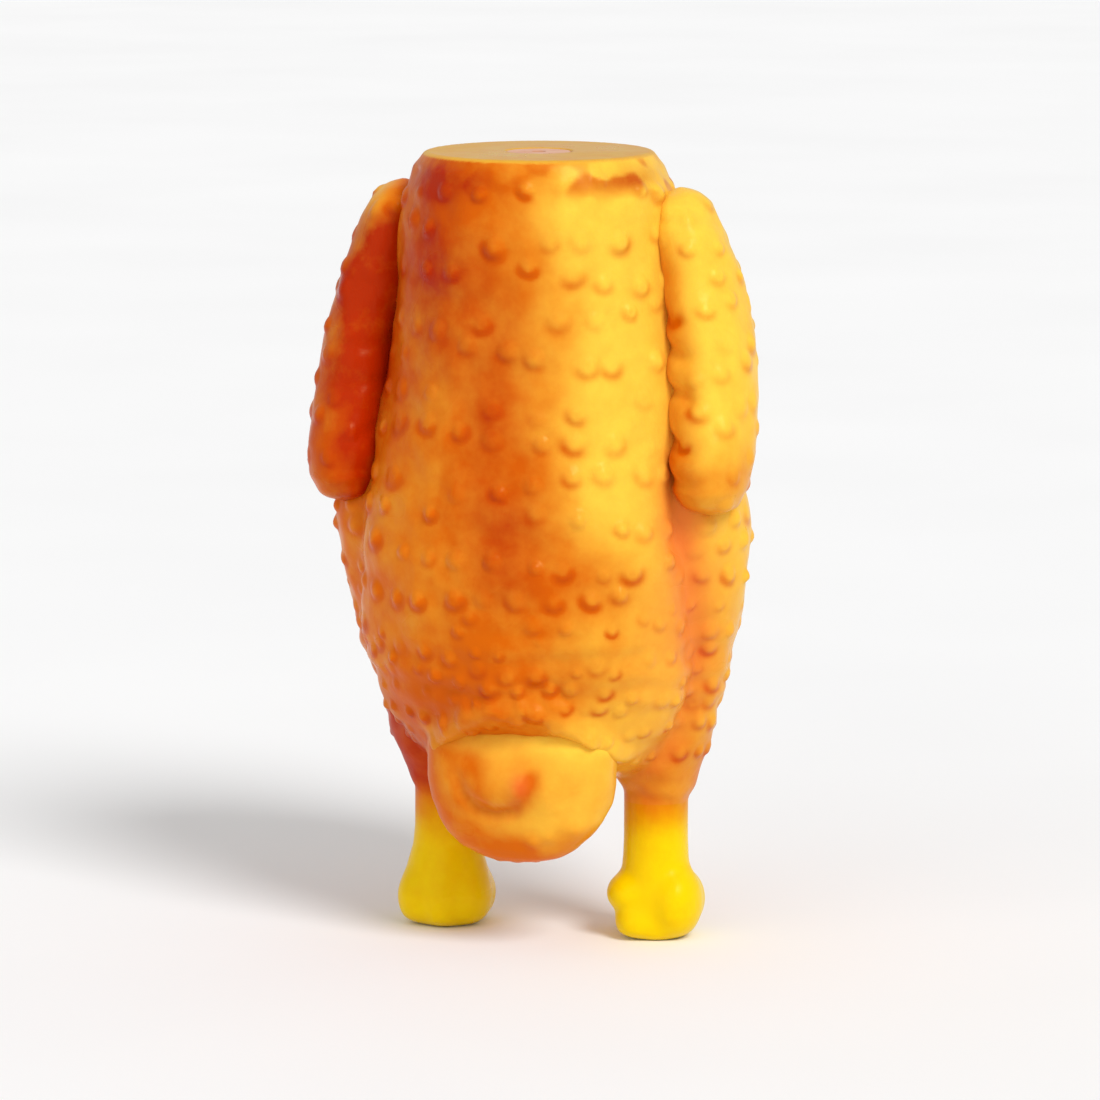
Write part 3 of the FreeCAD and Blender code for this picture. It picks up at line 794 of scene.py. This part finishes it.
class Nodes:
    """A material's node tree, with short ways to add and join nodes."""

    def __init__(self, name):
        self.material = bpy.data.materials.new(name)
        self.material.use_nodes = True
        self.tree = self.material.node_tree
        self.shader = self.tree.nodes["Principled BSDF"]

    def add(self, kind, **settings):
        node = self.tree.nodes.new(kind)
        for key, value in settings.items():
            setattr(node, key, value)
        return node

    def join(self, source, target):
        self.tree.links.new(source, target)

    def painted(self, label):
        return self.add("ShaderNodeAttribute", attribute_name=label).outputs["Fac"]

    def noise(self, scale, detail=2.0, roughness=0.5):
        node = self.add("ShaderNodeTexNoise")
        where = self.add("ShaderNodeTexCoord")
        self.join(where.outputs["Object"], node.inputs["Vector"])
        node.inputs["Scale"].default_value = scale
        node.inputs["Detail"].default_value = detail
        node.inputs["Roughness"].default_value = roughness
        return node.outputs["Fac"]

    def spread(self, source, low, high, to_low, to_high):
        node = self.add("ShaderNodeMapRange")
        self.join(source, node.inputs["Value"])
        for label, value in zip(("From Min", "From Max", "To Min", "To Max"), (low, high, to_low, to_high)):
            node.inputs[label].default_value = value
        return node.outputs["Result"]

    def math(self, operation, first, second):
        node = self.add("ShaderNodeMath", operation=operation, use_clamp=False)
        for socket, value in zip(node.inputs, (first, second)):
            if isinstance(value, (int, float)):
                socket.default_value = value
            else:
                self.join(value, socket)
        return node.outputs["Value"]

    def mix(self, factor, first, second, blend="MIX"):
        node = self.add("ShaderNodeMix", data_type="RGBA", blend_type=blend)
        for socket, value in zip((node.inputs[0], node.inputs[6], node.inputs[7]), (factor, first, second)):
            if isinstance(value, (tuple, float)):
                socket.default_value = value
            else:
                self.join(value, socket)
        return node.outputs[2]

    def grain(self, scale, strength, distance):
        """A fine roughness in the surface's shading."""
        bump = self.add("ShaderNodeBump")
        bump.inputs["Strength"].default_value = strength
        bump.inputs["Distance"].default_value = distance
        self.join(self.noise(scale), bump.inputs["Height"])
        self.join(bump.outputs["Normal"], self.shader.inputs["Normal"])

    def set(self, **values):
        for label, value in values.items():
            self.shader.inputs[label.replace("_", " ")].default_value = value


def skin_material(name, base, has_face=False):
    """Moulded vinyl with sprayed orange, red-brown and blush, as painted on the mesh."""
    nodes = Nodes(name)
    mottle = nodes.noise(220.0, 3.0, 0.6)
    cloud = nodes.noise(70.0, 2.0)
    orange = nodes.math("MULTIPLY", nodes.painted("orange"), nodes.spread(cloud, 0.3, 0.7, 0.85, 1.15))
    # the bump marks add orange, and red-brown where the skin is orange: spray, partly painted shade under
    # each bump
    orange = nodes.math("ADD", orange, nodes.math("MULTIPLY", nodes.painted("bump_spray_and_shade"), 0.50))
    orange = nodes.math("ADD", orange, nodes.spread(mottle, 0.3, 0.7, -0.08, 0.08))
    on_orange = nodes.spread(nodes.painted("orange"), 0.0, 1.0, 0.10, 0.46)
    red = nodes.math("ADD", nodes.painted("red"), nodes.math("MULTIPLY", nodes.painted("bump_spray_and_shade"), on_orange))
    red = nodes.math("MULTIPLY", red, nodes.spread(mottle, 0.3, 0.7, 0.85, 1.15))
    clamp = [nodes.spread(value, 0.0, 1.0, 0.0, 1.0) for value in (orange, red)]
    colour = nodes.mix(clamp[0], base, ORANGE)
    colour = nodes.mix(clamp[1], colour, RED_BROWN)
    colour = nodes.mix(nodes.painted("blush"), colour, BLUSH)
    if has_face:
        face = nodes.mix(nodes.spread(mottle, 0.3, 0.7, 0.0, 0.25), NECK_TAN, ORANGE)
        colour = nodes.mix(nodes.painted("face"), colour, face)
    nodes.join(colour, nodes.shader.inputs["Base Color"])
    roughness = nodes.spread(cloud, 0.3, 0.7, 0.24, 0.36)
    nodes.join(roughness, nodes.shader.inputs["Roughness"])
    nodes.grain(scale=650.0, strength=0.35, distance=0.0002)
    nodes.set(Subsurface_Weight=0.1, Subsurface_Scale=0.003, Specular_IOR_Level=0.42, IOR=1.28)
    nodes.shader.inputs["Subsurface Radius"].default_value = (1.0, 0.45, 0.12)
    nodes.shader.inputs["Specular Tint"].default_value = (1.0, 0.74, 0.34, 1.0)
    return nodes.material


def plastic_material(name, colour, other, roughness):
    """Moulded plastic with faint flow clouds."""
    nodes = Nodes(name)
    cloud = nodes.noise(260.0, 3.0)
    mixed = nodes.mix(nodes.spread(cloud, 0.35, 0.65, 0.0, 1.0), colour, other)
    nodes.join(mixed, nodes.shader.inputs["Base Color"])
    nodes.join(nodes.spread(cloud, 0.3, 0.7, roughness, roughness + 0.12), nodes.shader.inputs["Roughness"])
    nodes.grain(scale=900.0, strength=0.25, distance=0.0001)
    return nodes.material


def floor_material():
    nodes = Nodes("studio_floor")
    cloud = nodes.noise(6.0, 2.0)
    pale = nodes.mix(nodes.spread(cloud, 0.3, 0.7, 0.0, 1.0), FLOOR_WHITE, linear(247, 247, 247))
    nodes.join(pale, nodes.shader.inputs["Base Color"])
    nodes.set(Roughness=0.9)
    return nodes.material


# ---------------------------------------------------------------- building the toy
# the line that parts torso and leg climbs outwards
HIP_LINE_INNER = HIP[0] - HIP_RADIUS
HIP_LINE_LOW = HIP[2] - 8.0
HIP_LINE_SLOPE = 14.0 / 26.0
BONE_SPLIT = BONE_FLEX[2] - 0.9


def split_body(skin):
    """Which faces belong to the torso, to each drumstick's end and to each bone."""
    middle = skin.points[skin.quads].mean(axis=1)
    x, z = middle[:, 0], middle[:, 2]
    line = HIP_LINE_LOW + (np.abs(x) - HIP_LINE_INNER) * HIP_LINE_SLOPE
    is_bone = z < BONE_SPLIT
    is_leg = (z < line) & ~is_bone
    return {
        "torso": ~is_bone & ~is_leg,
        "right_drumstick": is_leg & (x > 0),
        "left_drumstick": is_leg & (x < 0),
        "right_leg_bone": is_bone & (x > 0),
        "left_leg_bone": is_bone & (x < 0),
    }


def build_body(rng):
    skin = body_skin(rng)
    normals = skin.normals()
    parts = split_body(skin)
    flesh = skin_material("roasted_skin_body", VINYL_YELLOW, has_face=True)
    bone = skin_material("leg_bone_rubber", LEMON)

    torso = piece("torso", skin, parts["torso"], flesh, normals)
    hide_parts("torso_skin", "back_skin")
    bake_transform(torso)

    for side, label in ((1, "right"), (-1, "left")):
        down = np.array([side * HIP_LINE_SLOPE, 0.0, -1.0])
        down /= np.linalg.norm(down)
        cuff = piece(label + "_drumstick", skin, parts[label + "_drumstick"], flesh, normals)
        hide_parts(label + "_drumstick_skin")
        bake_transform(cuff)

        shin = piece(label + "_leg_bone", skin, parts[label + "_leg_bone"], bone, normals)
        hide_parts(label + "_leg_bone_skin")
        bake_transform(shin)


def build_wings(rng):
    flesh = skin_material("roasted_skin_wing", VINYL_YELLOW)
    for side, label in ((1, "right"), (-1, "left")):
        skin = wing_skin(rng, side)
        wing = piece(label + "_wing", skin, np.ones(len(skin.quads), bool), flesh, skin.normals())
        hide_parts(label + "_wing_skin")
        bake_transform(wing)


def build_tail():
    skin = tail_skin()
    flesh = skin_material("roasted_skin_tail", VINYL_YELLOW)
    tail = piece("tail", skin, np.ones(len(skin.quads), bool), flesh, skin.normals())
    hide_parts("tail_skin")
    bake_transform(tail)


def dress_squeaker():
    """The squeaker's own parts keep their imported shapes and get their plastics."""
    pink = plastic_material("squeaker_plastic", linear(236, 176, 140), linear(226, 158, 118), 0.30)
    film = plastic_material("reed_film", linear(222, 226, 230), linear(200, 206, 214), 0.18)
    for name in ("squeaker_housing", "squeaker_reed_base", "squeaker_reed_clamp", "squeaker_reed"):
        mesh = frame["nodes"][name].data
        material = film if name == "squeaker_reed" else pink
        for slot in range(max(1, len(mesh.materials))):
            if slot < len(mesh.materials):
                mesh.materials[slot] = material
            else:
                mesh.materials.append(material)


# ---------------------------------------------------------------- studio
CAMERA_AZIMUTH = math.radians(17.0)
CAMERA_ELEVATION = math.radians(9.0)
CAMERA_DISTANCE = 1.2
FRAME_WIDTH = 0.2282
SENSOR_WIDTH = 36.0
LOOK_HEIGHT = 82.0
LOOK_RIGHT = 2.3


def place_camera():
    right = np.array([math.cos(CAMERA_AZIMUTH), math.sin(CAMERA_AZIMUTH), 0.0])
    target = (np.array([0.0, NECK_Y, LOOK_HEIGHT]) + LOOK_RIGHT * right) * MM
    level = math.cos(CAMERA_ELEVATION)
    towards = np.array(
        [math.sin(CAMERA_AZIMUTH) * level, -math.cos(CAMERA_AZIMUTH) * level, math.sin(CAMERA_ELEVATION)]
    )
    data = bpy.data.cameras.new("camera")
    data.sensor_width = SENSOR_WIDTH
    data.lens = SENSOR_WIDTH * CAMERA_DISTANCE / FRAME_WIDTH
    camera = bpy.data.objects.new("camera", data)
    camera.location = Vector(target + CAMERA_DISTANCE * towards)
    camera.rotation_euler = Vector(-towards).to_track_quat("-Z", "Y").to_euler()
    bpy.context.scene.collection.objects.link(camera)
    bpy.context.scene.camera = camera


def add_light(name, azimuth, elevation, softness, power):
    """A far, soft light; azimuth is counted as the camera's is, and softness is its angle across."""
    azimuth, elevation = math.radians(azimuth), math.radians(elevation)
    level = math.cos(elevation)
    towards = Vector((math.sin(azimuth) * level, -math.cos(azimuth) * level, math.sin(elevation)))
    data = bpy.data.lights.new(name, "SUN")
    data.angle = math.radians(softness)
    data.energy = power
    light = bpy.data.objects.new(name, data)
    light.location = towards
    light.rotation_euler = (-towards).to_track_quat("-Z", "Y").to_euler()
    bpy.context.scene.collection.objects.link(light)


def build_studio():
    half = 6.0
    mesh = bpy.data.meshes.new("floor")
    edge = [(-half, -half, 0), (half, -half, 0), (half, half, 0), (-half, half, 0)]
    mesh.from_pydata(edge, [], [(0, 1, 2, 3)])
    mesh.materials.append(floor_material())
    floor = bpy.data.objects.new("floor", mesh)
    bpy.context.scene.collection.objects.link(floor)

    world = bpy.data.worlds.new("studio")
    world.use_nodes = True
    world.node_tree.nodes["Background"].inputs["Color"].default_value = (1, 1, 1, 1)
    world.node_tree.nodes["Background"].inputs["Strength"].default_value = 0.55
    bpy.context.scene.world = world

    add_light("key", azimuth=50, elevation=42, softness=22, power=1.95)
    add_light("fill", azimuth=-20, elevation=20, softness=60, power=0.48)
    bpy.context.scene.view_settings.view_transform = "Standard"


build_body(np.random.default_rng(7))
build_wings(np.random.default_rng(11))
build_tail()
dress_squeaker()
build_studio()
place_camera()
